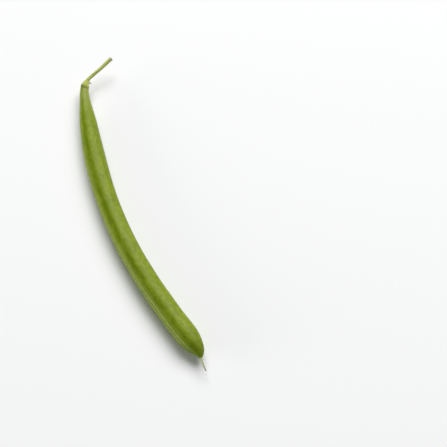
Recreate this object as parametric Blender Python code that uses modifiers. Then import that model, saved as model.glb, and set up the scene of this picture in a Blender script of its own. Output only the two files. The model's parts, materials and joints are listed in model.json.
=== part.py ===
"""A green bean pod with its calyx, stalk and two bracteoles, lying on a flat surface.

Metres, +Z up. The pod runs along X from its stalk to the beak at +X, and bends sideways, with its hollow
side at +Y. The origin is on the surface, under the middle of the bean's box. The pod is a loft: a seamed oval
section carried along a bent axis. The calyx is a lobed cup round the pod's neck, the stalk a tapered tube out
of the cup, and the bracteoles two small leaves on the cup.
"""

import math

import bmesh
import bpy
import numpy as np

COLLECTION = "green_bean"
GAP = 0.00015  # between neighbouring pieces

# The pod. Distances along it start at the calyx's rim, and shares are of POD_LENGTH.
POD_LENGTH = 0.1357
SEAM_TO_SEAM = 0.0084
SIDE_TO_SIDE = 0.0081
SIDEWAYS_BEND = 28.2  # degrees, over the whole pod
BODY_WAVE, WAVE_START = 1.94, 0.054  # degrees, one slow wander along the pod, and the share where it starts
NECK_CROOK, CROOK_END = 11.4, 0.048  # degrees, a quick turn in the neck, and the share where it ends
TIP_HOOK, HOOK_START = 19.9, 0.96  # degrees, and the share where the tip starts to turn back
TIP_LEAN, LEAN_RISE = 0.00037, 4.5  # how far the tip's end is off its line, and how late it leaves the line
SEAM_TWIST, TWIST_END = (4.0, 24.0), 0.65  # the section's roll, in degrees, at the neck and from the share on
NECK_GIRTH = 0.392  # the neck's share of the full radius
NECK_FLARE, FLARE_END, NECK_END = 0.247, 0.158, 0.301  # a quick widening, its end, and where the body is full
TAPER = 0.029  # the body's loss of radius along its length
SWELL, SWELL_WAVES, SWELL_PLACE = 0.0255, 1.2, 0.78  # a slow swelling, strongest near the tip
TIP_START, TIP_FULLNESS, TIP_BLUNTNESS = 0.915, 2.0, 0.787
SEAT_DEPTH, SEAT_GIRTH = 0.0010, 0.50  # the pod's end inside the calyx
BEAK_LENGTH, BEAK_FOOT, BEAK_END = 0.0052, 0.00046, 0.0002
SEAM_RIDGE, RIDGE_WIDTH = 0.00016, 6.0  # height, and half width in degrees round the section
SEED_COUNT, SEED_SWELL = 9, 0.00012
NECK_RISE, NECK_RISE_END = 0.0008, 0.2
UNDERSIDE_FLAT = 0.00015  # how far the underside is pressed flat where it rests

# The calyx, stalk and bracteoles.
CALYX_LENGTH, CALYX_WALL = 0.0033, 0.00022
CALYX_FOOT, CALYX_FLARE = 0.00075, 1.1  # the foot's radius, and how the cup widens from it: 1 is a cone
CALYX_LOBES, LOBE_DEPTH = 5, 0.00012
RIM_REACH, LIP = 0.00022, 0.0018  # how far the rim is over the pod, and how much farther its lip is
LIP_WAY, LIP_SHARPNESS = 72.0, 2.0  # the lip's degrees round from the hollow side, and how fast it falls off
REACH_END = 0.33  # the share of the cup where its lip and lobes fade out
CALYX_BEND, BEND_RISE = 32.0, 1.5  # degrees at its foot, towards the hollow side, and how late it bends
STALK_TURN = 42.0  # degrees from the neck's own line, towards the hollow side
STALK_LENGTH, STALK_RISE = 0.0137, 10.0
STALK_RADII = (0.00071, 0.00068, 0.00070, 0.00074, 0.00078)
STALK_BEND_END = 0.25  # the share of the stalk where it has turned to its final way
BRACTEOLE_LENGTH, BRACTEOLE_WIDTH, BRACTEOLE_THICK = 0.0019, 0.0012, 0.0002
BRACTEOLE_PLACE, BRACTEOLE_SPREAD = 0.85, 65.0  # share from rim to foot, and degrees off the calyx's axis
BRACTEOLE_CUP, BRACTEOLE_CURL = 0.15, 0.12  # how far its sides and its point bend, as shares of its length
BRACTEOLE_ROLLS = (12.0, 235.0)  # degrees round the calyx from the hollow side towards the top
BRACTEOLE_TURNS = (-78.0, 0.0)  # degrees about each leaf's own direction
OVAL_START, OVAL_END, OVAL_BLUNTNESS = 0.12, 0.92, 0.8  # the part of a sine arch that gives a leaf its width

# How finely the shapes are divided.
POD_SIDES, SEAM_CROWDING = 36, 0.25
CALYX_SIDES, CALYX_STATIONS = 30, 8
BODY_STATIONS, TIP_STATIONS, BEAK_STATIONS, SEAT_STATIONS = 40, 14, 4, 5
STALK_POINTS, TRACK_STEPS = 17, 1500
BRACTEOLE_GRID = (8, 4)
SHARP_ANGLE = 50.0  # degrees between faces, past which an edge is shaded sharp

# Linear colours and roughness.
POD_LOOK = ((0.19, 0.27, 0.03), 0.42)
CALYX_LOOK = ((0.36, 0.40, 0.10), 0.6)
STALK_LOOK = ((0.30, 0.36, 0.07), 0.6)
BRACTEOLE_LOOK = ((0.33, 0.27, 0.10), 0.8)


def smoothstep(share):
    """0 below 0, 1 above 1, and a smooth rise between."""
    share = np.clip(share, 0.0, 1.0)
    return share * share * (3 - 2 * share)


def heading(distance):
    """The pod's direction in the XY plane, in degrees before the pod is turned onto X."""
    share = np.clip(distance / POD_LENGTH, 0.0, 1.0)
    wave = BODY_WAVE * np.sin(2 * math.pi * (share - WAVE_START))
    crook = NECK_CROOK * (1 - smoothstep(share / CROOK_END))
    hook = TIP_HOOK * smoothstep((share - HOOK_START) / (1 - HOOK_START))
    return SIDEWAYS_BEND * share - wave - crook - hook


def chord_direction():
    """The direction, in degrees, of the straight line from the rim to the tip."""
    angles = np.radians(heading(np.linspace(0, POD_LENGTH, TRACK_STEPS)))
    return math.degrees(math.atan2(np.sin(angles).sum(), np.cos(angles).sum()))


def twist(distance):
    """The section's roll in radians: it lifts the outer seam off the horizontal."""
    start, end = SEAM_TWIST
    return np.radians(start + (end - start) * smoothstep(distance / POD_LENGTH / TWIST_END))


def resting_height(distance):
    """The axis's height that puts the rolled oval's lowest point on the surface, raised at the neck."""
    roll = twist(distance)
    oval = np.hypot(SEAM_TO_SEAM / 2 * np.sin(roll), SIDE_TO_SIDE / 2 * np.cos(roll))
    rise = NECK_RISE * (1 - smoothstep(distance / POD_LENGTH / NECK_RISE_END))
    return oval - UNDERSIDE_FLAT + rise


def pod_girth(distance):
    """The pod's radius as a share of the full one: seat, neck, body, closing tip and beak."""
    share = distance / POD_LENGTH
    along = np.clip(share, 0, 1)
    slow_rise = (1 - NECK_GIRTH - NECK_FLARE) * smoothstep(along / NECK_END)
    neck = NECK_GIRTH + NECK_FLARE * smoothstep(along / FLARE_END) + slow_rise
    swelling = SWELL * along * np.cos(2 * math.pi * SWELL_WAVES * (along - SWELL_PLACE))
    body = 1 - TAPER * along + swelling
    closing = np.clip((share - TIP_START) / (1 - TIP_START), 0, 1)
    tip = (1 - closing**TIP_FULLNESS) ** TIP_BLUNTNESS
    inside = np.clip(-distance / SEAT_DEPTH, 0, 1)
    seat = 1 - (1 - SEAT_GIRTH) * inside**2
    along_beak = np.clip((distance - POD_LENGTH) / BEAK_LENGTH, 0, 1)
    beak = (BEAK_FOOT + (BEAK_END - BEAK_FOOT) * along_beak) * 2 / SIDE_TO_SIDE
    return np.cbrt((neck * body * tip * seat) ** 3 + beak**3)


def pod_stations():
    """Distances along the pod, closer together where its radius changes fast."""
    tip_start = TIP_START * POD_LENGTH
    ease = np.sin(np.linspace(0, math.pi / 2, TIP_STATIONS + 1))
    return np.concatenate(
        [
            np.linspace(-SEAT_DEPTH, 0, SEAT_STATIONS, endpoint=False),
            np.linspace(0, tip_start, BODY_STATIONS, endpoint=False),
            tip_start + (POD_LENGTH - tip_start) * ease,
            POD_LENGTH + BEAK_LENGTH * np.linspace(0, 1, BEAK_STATIONS + 1)[1:],
        ]
    )


def tip_lean(distance):
    """How far the axis of the closing tip is off its line, towards the outer seam."""
    return TIP_LEAN * np.clip((distance / POD_LENGTH - TIP_START) / (1 - TIP_START), 0, 1) ** LEAN_RISE


def pod_axis(distance):
    """Points on the pod's axis, and the unit vectors along it and towards its hollow side."""
    samples = np.linspace(-SEAT_DEPTH, POD_LENGTH + BEAK_LENGTH, TRACK_STEPS)
    angles = np.radians(heading(samples) - chord_direction())
    steps = np.diff(samples)[:, None] * np.stack([np.cos(angles), np.sin(angles)], axis=1)[1:]
    track = np.concatenate([[[0.0, 0.0]], np.cumsum(steps, axis=0)])
    points = np.stack(
        [
            np.interp(distance, samples, track[:, 0]),
            np.interp(distance, samples, track[:, 1]),
            resting_height(distance),
        ],
        axis=1,
    )
    turn = np.interp(distance, samples, angles)
    flat = np.zeros_like(turn)
    along = np.stack([np.cos(turn), np.sin(turn), flat], axis=1)
    hollow_side = np.stack([-np.sin(turn), np.cos(turn), flat], axis=1)
    return points - tip_lean(distance)[:, None] * hollow_side, along, hollow_side


def pod_rings():
    """One ring of points a station: an oval with a raised seam at each end of its long axis."""
    distance = pod_stations()
    points, _, hollow_side = pod_axis(distance)
    girth, roll = pod_girth(distance)[:, None], twist(distance)[:, None]
    even = np.linspace(0, 2 * math.pi, POD_SIDES, endpoint=False)
    around = even - SEAM_CROWDING * np.sin(2 * even)  # the points crowd towards the two seams
    from_seam = np.degrees(np.arcsin(np.abs(np.sin(around))))
    share = np.clip(distance / POD_LENGTH, 0, 1)
    ridge = np.exp(-((from_seam / RIDGE_WIDTH) ** 2)) * SEAM_RIDGE
    swell = SEED_SWELL * -np.cos(2 * math.pi * SEED_COUNT * share) * np.sin(math.pi * share)
    out_to_seam = (SEAM_TO_SEAM / 2 * girth + ridge * girth) * np.cos(around)
    out_to_side = (SIDE_TO_SIDE / 2 + swell[:, None]) * girth * np.sin(around)
    up = np.array([0.0, 0.0, 1.0])
    seam_way = -hollow_side * np.cos(roll) + up * np.sin(roll)
    side_way = hollow_side * np.sin(roll) + up * np.cos(roll)
    rings = (
        points[:, None]
        + out_to_seam[:, :, None] * seam_way[:, None]
        + out_to_side[:, :, None] * side_way[:, None]
    )
    rings[:, :, 2] = np.maximum(rings[:, :, 2], 0.0)
    return rings


def calyx_axis(share):
    """Points and directions of the calyx's axis, from the rim (0) to the foot (1), bending to the stalk."""
    samples = np.linspace(0, 1, TRACK_STEPS)
    start, along, hollow_side = (value[0] for value in pod_axis(np.zeros(1)))
    angles = np.radians(CALYX_BEND) * samples**BEND_RISE
    climb = np.radians(STALK_RISE) * samples**BEND_RISE
    sideways = np.cos(angles)[:, None] * -along + np.sin(angles)[:, None] * hollow_side
    ways = np.cos(climb)[:, None] * sideways + np.sin(climb)[:, None] * np.array([0.0, 0.0, 1.0])
    steps = ways[1:] * CALYX_LENGTH / (TRACK_STEPS - 1)
    track = np.concatenate([[start], start + np.cumsum(steps, axis=0)])
    points = np.stack([np.interp(share, samples, track[:, k]) for k in range(3)], axis=1)
    directions = np.stack([np.interp(share, samples, ways[:, k]) for k in range(3)], axis=1)
    return points, directions / np.linalg.norm(directions, axis=1)[:, None]


def calyx_inside(share):
    """The cup's inner radius: it clears the pod's seat and its seams. Shares below 0 are over the pod."""
    return pod_girth(-share * CALYX_LENGTH) * SEAM_TO_SEAM / 2 + GAP


def calyx_outside(share):
    """The cup's outer radius: a funnel with a slight flare, from its foot (share 1) to its rim (0)."""
    rim_radius = calyx_inside(np.minimum(share, 0)) + CALYX_WALL
    return CALYX_FOOT + (rim_radius - CALYX_FOOT) * np.clip(1 - share, 0, 1) ** CALYX_FLARE


def rim_reach(share, around):
    """How far the rim's lip and lobes carry the cup over the pod, fading out towards the foot."""
    near_lip = (1 + np.cos(around - math.radians(LIP_WAY))) / 2
    reach = RIM_REACH + LIP * near_lip**LIP_SHARPNESS + LOBE_DEPTH * np.cos(CALYX_LOBES * around)
    return reach * np.clip(1 - share / REACH_END, 0, 1)


def calyx_rings():
    """Rings up the cup's outside, over its lobed rim and down its inside to its floor."""
    floor_share = (SEAT_DEPTH + GAP) / CALYX_LENGTH
    outer_share = 1 - np.linspace(0, 1, CALYX_STATIONS)
    inner_share = np.linspace(0, floor_share, CALYX_STATIONS)
    share = np.concatenate([outer_share, inner_share])
    points, ways = calyx_axis(share)
    side = np.cross(ways, [0.0, 0.0, 1.0])
    side /= np.linalg.norm(side, axis=1)[:, None]
    top = np.cross(side, ways)
    around = np.linspace(0, 2 * math.pi, CALYX_SIDES, endpoint=False)
    reach = rim_reach(share[:, None], around)
    carried = share[:, None] - reach / CALYX_LENGTH
    radius = np.concatenate([calyx_outside(carried[:CALYX_STATIONS]), calyx_inside(carried[CALYX_STATIONS:])])
    return (
        points[:, None]
        + (radius * np.cos(around))[:, :, None] * side[:, None]
        + (radius * np.sin(around))[:, :, None] * top[:, None]
        - reach[:, :, None] * ways[:, None]
    )


def stalk_start():
    """The stalk's first point, just off the calyx's foot, and its unit direction there."""
    points, ways = calyx_axis(np.ones(1))
    return points[0] + ways[0] * GAP, ways[0]


def stalk_route():
    """Points along the stalk: it leaves in line with the calyx's foot and soon turns to its final way."""
    start, first_way = stalk_start()
    _, along, hollow_side = (value[0] for value in pod_axis(np.zeros(1)))
    turn, rise = math.radians(STALK_TURN), math.radians(STALK_RISE)
    level = -along * math.cos(turn) + hollow_side * math.sin(turn)
    final_way = level * math.cos(rise) + np.array([0.0, 0.0, math.sin(rise)])
    share = np.linspace(0, 1, STALK_POINTS)
    blend = smoothstep(share / STALK_BEND_END)[:, None]
    ways = first_way * (1 - blend) + final_way * blend
    ways /= np.linalg.norm(ways, axis=1)[:, None]
    steps = ways[1:] * STALK_LENGTH / (STALK_POINTS - 1)
    return share, np.concatenate([[start], start + np.cumsum(steps, axis=0)])


def material(name, look):
    """A Principled material of one colour and roughness."""
    colour, roughness = look
    made = bpy.data.materials.new(name)
    made.use_nodes = True
    shader = made.node_tree.nodes["Principled BSDF"]
    shader.inputs["Base Color"].default_value = (*colour, 1.0)
    shader.inputs["Roughness"].default_value = roughness
    shader.inputs["Metallic"].default_value = 0.0
    return made


def add_object(name, data, look, parent, collection):
    """Links a new object under the parent and gives it its material."""
    made = bpy.data.objects.new(name, data)
    data.materials.append(look)
    made.parent = parent
    collection.objects.link(made)
    return made


def loft(name, rings):
    """A mesh skinned over rings of points, with a flat cap at each end."""
    bm = bmesh.new()
    loops = [[bm.verts.new(point) for point in ring] for ring in rings]
    for near, far in zip(loops, loops[1:]):
        for i in range(len(near)):
            bm.faces.new((near[i - 1], near[i], far[i], far[i - 1]))
    bm.faces.new(loops[0])
    bm.faces.new(loops[-1])
    bmesh.ops.recalc_face_normals(bm, faces=bm.faces)
    data = bpy.data.meshes.new(name)
    bm.to_mesh(data)
    bm.free()
    data.shade_smooth()
    data.set_sharp_from_angle(angle=math.radians(SHARP_ANGLE))
    return data


def make_pod(parent, collection):
    look = material("pod_skin", POD_LOOK)
    return add_object("pod", loft("pod", pod_rings()), look, parent, collection)


def make_calyx(parent, collection):
    look = material("calyx_skin", CALYX_LOOK)
    return add_object("calyx", loft("calyx", calyx_rings()), look, parent, collection)


def make_stalk(parent, collection):
    """A curve with a round bevel whose radius follows STALK_RADII."""
    share, route = stalk_route()
    data = bpy.data.curves.new("stalk", "CURVE")
    data.dimensions = "3D"
    data.bevel_depth = 1.0
    data.bevel_resolution = 3
    data.use_fill_caps = True
    spline = data.splines.new("POLY")
    spline.points.add(len(route) - 1)
    radii = np.interp(share, np.linspace(0, 1, len(STALK_RADII)), STALK_RADII)
    for point, place, radius in zip(spline.points, route, radii):
        point.co = (*place, 1.0)
        point.radius = radius
    spline.use_smooth = True
    look = material("stalk_skin", STALK_LOOK)
    return add_object("stalk", data, look, parent, collection)


def bracteole_frame(roll, turn):
    """A leaf's root, its direction, the way across it, and the way its back faces."""
    points, ways = calyx_axis(np.array([BRACTEOLE_PLACE]))
    side = np.cross(ways[0], [0.0, 0.0, 1.0])
    side /= np.linalg.norm(side)
    top = np.cross(side, ways[0])
    off_axis = side * math.cos(math.radians(roll)) + top * math.sin(math.radians(roll))
    spread = math.radians(BRACTEOLE_SPREAD)
    out = off_axis * math.sin(spread) - ways[0] * math.cos(spread)
    back = off_axis * math.cos(spread) + ways[0] * math.sin(spread)
    root = points[0] + off_axis * (calyx_outside(BRACTEOLE_PLACE) + GAP + BRACTEOLE_THICK / 2)
    unturned, turned = np.cross(out, back), math.radians(turn)
    across = unturned * math.cos(turned) + back * math.sin(turned)
    return root, out, across, np.cross(across, out)


def make_bracteole(name, roll, turn, look, parent, collection):
    """A small cupped leaf on the calyx, a grid cut to a pointed oval and thickened by Solidify.

    roll is its place round the calyx, in degrees from the hollow side towards the top, and turn is how far it
    is turned about its own direction. The leaf starts near the calyx's foot and spreads off the calyx on its
    way towards the pod.
    """
    root, out, across, back = bracteole_frame(roll, turn)
    bm = bmesh.new()
    bmesh.ops.create_grid(bm, x_segments=BRACTEOLE_GRID[0], y_segments=BRACTEOLE_GRID[1], size=1.0)
    for vert in bm.verts:
        along, half = (vert.co.x + 1) / 2, vert.co.y
        arch = math.sin(math.pi * (OVAL_START + (OVAL_END - OVAL_START) * along))
        width = BRACTEOLE_WIDTH / 2 * arch**OVAL_BLUNTNESS
        curl = BRACTEOLE_LENGTH * (BRACTEOLE_CURL * along**2 - BRACTEOLE_CUP * half**2)
        vert.co = root + out * BRACTEOLE_LENGTH * along + across * half * width + back * curl
    data = bpy.data.meshes.new(name)
    bm.to_mesh(data)
    bm.free()
    data.shade_smooth()
    made = add_object(name, data, look, parent, collection)
    solid = made.modifiers.new("thickness", "SOLIDIFY")
    solid.thickness = BRACTEOLE_THICK
    solid.offset = 0.0
    return made


def centre_on_origin(parent, parts):
    """Moves the parent so that the middle of the parts' box is over the origin."""
    bpy.context.view_layer.update()
    graph = bpy.context.evaluated_depsgraph_get()
    corners = []
    for part in parts:
        evaluated = part.evaluated_get(graph)
        mesh = evaluated.to_mesh()
        corners += [evaluated.matrix_world @ vert.co for vert in mesh.vertices]
        evaluated.to_mesh_clear()
    corners = np.array(corners)
    middle = (corners.min(axis=0) + corners.max(axis=0)) / 2
    parent.location = (-middle[0], -middle[1], 0.0)
    bpy.context.view_layer.update()


def main():
    for old in list(bpy.data.objects):
        bpy.data.objects.remove(old)
    collection = bpy.data.collections.new(COLLECTION)
    bpy.context.scene.collection.children.link(collection)
    bean = bpy.data.objects.new("bean_origin", None)
    collection.objects.link(bean)
    dry = material("bracteole_skin", BRACTEOLE_LOOK)
    parts = [
        make_pod(bean, collection),
        make_calyx(bean, collection),
        make_stalk(bean, collection),
        make_bracteole("bracteole_inner", BRACTEOLE_ROLLS[0], BRACTEOLE_TURNS[0], dry, bean, collection),
        make_bracteole("bracteole_outer", BRACTEOLE_ROLLS[1], BRACTEOLE_TURNS[1], dry, bean, collection),
    ]
    centre_on_origin(bean, parts)


main()
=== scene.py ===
"""Green bean: the finished look of one whole fresh pod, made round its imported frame.

The file is laid out as an add-on. Each operator makes one piece, or one group of like pieces, from a numpy
surface: a function of two parameters on a grid. The shapes repeat the frame's driving dimensions, and are put
where the frame's nodes are. Metres, +Z up. The pod runs along X from its stalk to its beak at +X, bends
sideways with its hollow side at +Y, and lies on the floor at height 0.
"""

import json
import math

import bpy
import numpy as np
from bpy.props import FloatProperty, FloatVectorProperty, PointerProperty
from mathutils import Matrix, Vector

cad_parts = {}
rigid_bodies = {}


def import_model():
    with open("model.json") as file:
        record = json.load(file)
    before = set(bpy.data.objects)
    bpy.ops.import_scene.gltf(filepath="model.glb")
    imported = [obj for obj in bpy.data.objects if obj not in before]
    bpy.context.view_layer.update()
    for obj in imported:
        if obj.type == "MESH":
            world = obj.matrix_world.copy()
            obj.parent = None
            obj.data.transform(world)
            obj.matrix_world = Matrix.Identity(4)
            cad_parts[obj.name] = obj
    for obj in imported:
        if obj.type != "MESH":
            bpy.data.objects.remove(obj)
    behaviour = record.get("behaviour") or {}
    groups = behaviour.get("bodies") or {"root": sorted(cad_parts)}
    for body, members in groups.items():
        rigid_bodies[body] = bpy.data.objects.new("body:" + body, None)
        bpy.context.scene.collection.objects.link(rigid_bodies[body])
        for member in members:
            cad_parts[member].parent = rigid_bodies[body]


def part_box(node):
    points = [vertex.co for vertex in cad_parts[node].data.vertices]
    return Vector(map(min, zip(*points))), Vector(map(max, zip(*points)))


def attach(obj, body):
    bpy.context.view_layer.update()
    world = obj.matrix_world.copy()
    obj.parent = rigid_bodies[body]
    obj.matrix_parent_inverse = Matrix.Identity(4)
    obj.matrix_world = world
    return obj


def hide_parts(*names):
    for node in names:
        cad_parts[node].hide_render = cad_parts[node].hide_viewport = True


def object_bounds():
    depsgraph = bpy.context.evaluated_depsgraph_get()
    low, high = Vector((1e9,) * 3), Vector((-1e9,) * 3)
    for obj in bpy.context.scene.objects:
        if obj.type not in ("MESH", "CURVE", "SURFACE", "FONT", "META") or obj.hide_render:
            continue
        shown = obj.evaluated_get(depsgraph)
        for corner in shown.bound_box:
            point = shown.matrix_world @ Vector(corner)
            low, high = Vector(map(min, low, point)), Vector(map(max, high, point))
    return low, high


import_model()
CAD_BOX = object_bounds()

bl_info = {
    "name": "Green Bean",
    "version": (1, 0, 0),
    "blender": (4, 5, 0),
    "location": "View3D > Sidebar > Green Bean",
    "description": "Makes a fresh green bean with its calyx, stalk and bracteoles, and a plain stage",
    "category": "Add Mesh",
}

BODY = "root"
UP = np.array([0.0, 0.0, 1.0])
MM = 0.001

# The pod's line. Distances along it start at the calyx's rim, and shares are of its length.
SIDEWAYS_BEND = 28.2  # degrees, over the whole pod
BODY_WAVE, WAVE_START = 1.94, 0.054  # degrees, one slow wander along the pod, and the share where it starts
NECK_CROOK, CROOK_END = 11.4, 0.048  # degrees, a quick turn in the neck, and the share where it ends
TIP_HOOK, HOOK_START = 19.9, 0.96  # degrees, and the share where the tip starts to turn back
TIP_LEAN, LEAN_RISE = 0.00037, 4.5  # how far the tip's end is off its line, and how late it leaves the line
SEAM_TWIST, TWIST_END = (4.0, 24.0), 0.65  # the section's roll, in degrees, at the neck and from the share on
NECK_RISE, NECK_RISE_END = 0.8 * MM, 0.2
UNDERSIDE_FLAT = 0.00015
TRACK_STEPS = 1500

# The pod's girth, as shares of its full radius.
NECK_GIRTH = 0.392
NECK_FLARE, FLARE_END, NECK_END = 0.247, 0.158, 0.301
TAPER = 0.029
SWELL, SWELL_WAVES, SWELL_PLACE = 0.0255, 1.2, 0.78
TIP_START, TIP_FULLNESS, TIP_BLUNTNESS = 0.915, 2.0, 0.787
SEAT_DEPTH, SEAT_GIRTH = 0.0010, 0.50
BEAK_LENGTH, BEAK_FOOT, BEAK_END = 0.0052, 0.00046, 0.0002
BEAK_BEND = 0.0003  # how far the beak's end curls up and towards the hollow side
BEAK_KNOTS, BEAK_KNOT_WAVES = 0.10, 3.3
BEAK_RIBS, BEAK_RIB_HEIGHT = 5, 0.03 * MM

# The pod's skin: angles are in degrees round the section from the outer seam.
SEAM_SPREAD, SEAM_WIDTH, SEAM_GROOVE = 7.5, 3.2, 2.4
SEAM_BAND, BAND_EDGE = 6.0, 8.0  # the pale band's half width, and how wide its soft edge is: a paler seam, partly painted light
DEEP_PLACE, DEEP_WIDTH = (55.0, 38.0), 19.0  # the darker band along each flank, partly its own deep green and partly painted shade, at the neck and the body
DEEP_NECK, DEEP_INNER = 0.72, 0.5  # how strong the band is at the neck, and along the inner seam
INNER_SEAM_WIDTH, INNER_HEIGHT, INNER_PALENESS = 5.0, 0.8, 0.7  # the last two as shares of the outer seam's
FLANK_HOLLOW, FLANK_PLACE, FLANK_WIDTH = 0.05 * MM, 27.0, 9.0
SEED_COUNT, SEED_LENGTH, SEED_FIRST, SEED_LAST = 9, 0.0048, 0.13, 0.90
SEED_SHIFT, SEED_SIZES = 0.12, (0.6, 1.15)
WANDER_HEIGHT, WANDER_TERMS = 0.035 * MM, 14
NECK_RIBS, NECK_RIB_HEIGHT, NECK_RIB_REACH = 11, 0.028 * MM, 0.012
CORD_LINES, CORD_HEIGHT = (9, 13, 17, 22), 0.007 * MM

# The calyx, stalk and bracteoles.
GAP = 0.00015  # the frame's gap between neighbours, kept so that the pieces stand where its nodes do
CALYX_FOOT, CALYX_FLARE = 0.00075, 1.1
CALYX_TEETH, TOOTH_LENGTHS, TOOTH_POWER = 5, (0.65, 1.25), 0.85
RIM_REACH, LIP, LIP_WAY, LIP_SHARPNESS = -0.00008, 0.0019, 72.0, 2.0
REACH_END = 0.33  # the share of the cup where its lip and teeth fade out
RIM_PRESS = 0.03 * MM  # how far the cup is pressed into the pod at its rim, so that no gap shows
CALYX_BEND, BEND_RISE = 32.0, 1.5
STALK_TURN, STALK_RISE = 42.0, 10.0
CALYX_RIBS, CALYX_RIB_HEIGHT = 10, 0.022 * MM
SHADE_WAY, SHADE_WIDTH = 116.0, 50.0  # the painted shade along one side of the rim's edge, in degrees round the cup
SHADE_DEPTH = 0.95 * MM
RIM_THINNING = 0.6  # how much of the cup's wall is gone at its rim
COLLAR_SINK = 0.06  # how far the calyx's foot runs on into the stalk, as a share of the calyx
STALK_RADII = (0.00071, 0.00068, 0.00070, 0.00074, 0.00078)
STALK_BEND_END, STALK_RIDGES, STALK_TURNS, STALK_SWAY = 0.25, 6, 0.35, 0.05
STALK_UNEVEN, END_SWELLING, FOOT_SWELLING = 0.02 * MM, 0.10 * MM, 0.08 * MM
STALK_OVERLAP = 0.0005  # how far the stalk starts inside the calyx
TEAR_HEIGHT, TEAR_DEPTH, TEAR_GRAIN = 0.16 * MM, 0.22 * MM, 0.05 * MM  # the torn end's edge, middle and grain
BRACTEOLE_PLACE, BRACTEOLE_SPREAD, BRACTEOLE_CURL = 0.85, 65.0, 0.12
VEIN_HEIGHT, VEIN_WIDTH, WRINKLE_HEIGHT, LEAF_RAGGEDNESS = 0.05 * MM, 0.14, 0.03 * MM, 0.06
# Each leaf's place round the calyx, and its turn about its own direction, in degrees.
BRACTEOLE_WAYS = {"bracteole_inner": (12.0, -78.0), "bracteole_outer": (235.0, 0.0)}
OVAL_START, OVAL_END, OVAL_BLUNTNESS = 0.12, 0.92, 0.8

# Grids: stations along a piece, and points round it.
POD_AROUND, SEAM_CROWDING = 144, 0.38
POD_SEAT, POD_BODY, POD_TIP, POD_BEAK = 8, 430, 130, 40
CALYX_AROUND, CALYX_OUTER, CALYX_EDGE, CALYX_INNER = 180, 60, 10, 40
STALK_AROUND, STALK_ALONG, STALK_END = 72, 150, 12
LEAF_AROUND, LEAF_ALONG = 48, 40
SEED = 7

# How strongly each layer of colour covers the skin, and where those along the pod start and end.
SMALL_PATCHES, STREAKS, SPECKS, WAX = 0.45, 0.2, 0.4, 0.45
# The flank band's colour is partly painted shade. The groove's colour is painted shade, and SHADE_TINT is
# painted shade at the calyx's rim. The seam band's colour is partly painted light.
DEEP_AND_SHADE_TINT, BAND_AND_LIGHT_TINT, RIDGE_TINT, GROOVE_SHADE_TINT, SHADE_TINT = 0.8, 0.55, 0.6, 0.9, 0.95
NECK_TINT, NECK_TINT_END = 0.6, 0.020
TIP_TINT, TIP_TINT_SPAN = 0.6, (0.93, 0.995)
BEAK_EDGE, BEAK_BROWNING = 0.0012, (0.0022, BEAK_LENGTH + 0.0014)

# Values that the materials share.
IOR, COAT_ROUGHNESS, SHEEN_ROUGHNESS = 1.42, 0.45, 0.5
SUBSURFACE_RADIUS, SUBSURFACE_SCALE = (0.5, 0.8, 0.15), 0.0012
SKIN_BUMP = 0.05 * MM

# The stage. A light's way is its turn round from the camera and its height over the floor, in radians.
KEY_WAY, KEY_SIDES = (math.radians(167), math.radians(54)), (2.6, 1.7)
FILL_WAY, FILL_SIDES = (math.radians(-80), math.radians(10)), (1.6, 0.8)
LIGHT_DISTANCE = 2.4
SENSOR_WIDTH, CLIP = 36.0, (0.01, 100.0)
FLOOR_HEIGHT = -0.03 * MM
BACKDROP, SKY_COLOUR = 0.92, (0.95, 0.97, 1.0, 1.0)


# ---------- shape helpers


def smoothstep(share):
    """0 below 0, 1 above 1, and 3s^2 - 2s^3 between."""
    share = np.clip(share, 0.0, 1.0)
    return share * share * (3 - 2 * share)


def bell(value, width):
    """A rounded hump: e to the minus (value over width) squared."""
    return np.exp(-((value / width) ** 2))


def unit(vectors):
    """Each vector over its own length."""
    return vectors / np.linalg.norm(vectors, axis=-1, keepdims=True)


def circle(count):
    """Even angles round a section, as one row."""
    return np.linspace(0, 2 * math.pi, count, endpoint=False)[None, :]


def offset(lengths, ways):
    """A grid of lengths, each along the way of its row, or along one way."""
    return lengths[:, :, None] * ways[..., None, :]


def stacked(*parts):
    """A vector for each point of a grid, from its parts."""
    return np.stack(np.broadcast_arrays(*parts), axis=-1)


def wander(first, second, rounds, rng, terms):
    """A smooth unevenness of about unit height: a sum of sines, each of a whole number of turns round the
    section and a few along the piece, with phases drawn once."""
    total = np.zeros(np.broadcast(first, second).shape)
    for _ in range(terms):
        turns = rng.integers(0, rounds + 1)
        waves = rng.uniform(1.0, 9.0)
        phase = rng.uniform(0, 2 * math.pi)
        total += np.sin(2 * math.pi * waves * first + turns * second + phase)
    return total / math.sqrt(terms)


def grid_mesh(name, grid, start, end, attributes):
    """A closed mesh over a grid of points, rows along the piece and columns round it.

    Quads join each point to the next in its row and in the next row, and the last column meets the first.
    start and end are the poles that close the first and last rows. Each attribute has a value for each point
    of the grid, and its poles take the mean of the nearest row. The UV map holds the share round and along.
    Faces that enclose less than nothing point inwards, and are turned round.
    """
    rows, columns = grid.shape[:2]
    start = grid[0].mean(axis=0) if start is None else start
    end = grid[-1].mean(axis=0) if end is None else end
    points = np.concatenate([grid.reshape(-1, 3), start[None], end[None]])
    index = np.arange(rows * columns).reshape(rows, columns)
    after = np.roll(index, -1, axis=1)
    quads = stacked(index[:-1], after[:-1], after[1:], index[1:]).reshape(-1, 4)
    first_pole, last_pole = rows * columns, rows * columns + 1
    ends = ((after[0], index[0], first_pole), (index[-1], after[-1], last_pole))
    fans = np.concatenate([stacked(*corners) for corners in ends])
    corners = points[np.concatenate([quads[:, [0, 1, 2]], quads[:, [0, 2, 3]], fans])]
    if np.einsum("ij,ij->", corners[:, 0], np.cross(corners[:, 1], corners[:, 2])) < 0:
        quads, fans = quads[:, ::-1], fans[:, ::-1]
    data = bpy.data.meshes.new(name)
    data.from_pydata(points, [], [*quads.tolist(), *fans.tolist()])
    data.shade_smooth()
    add_uv_map(data, rows, columns, quads, fans)
    for key, values in attributes.items():
        add_attribute(data, key, np.broadcast_to(values, (rows, columns, *values.shape[2:])))
    return data


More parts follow.
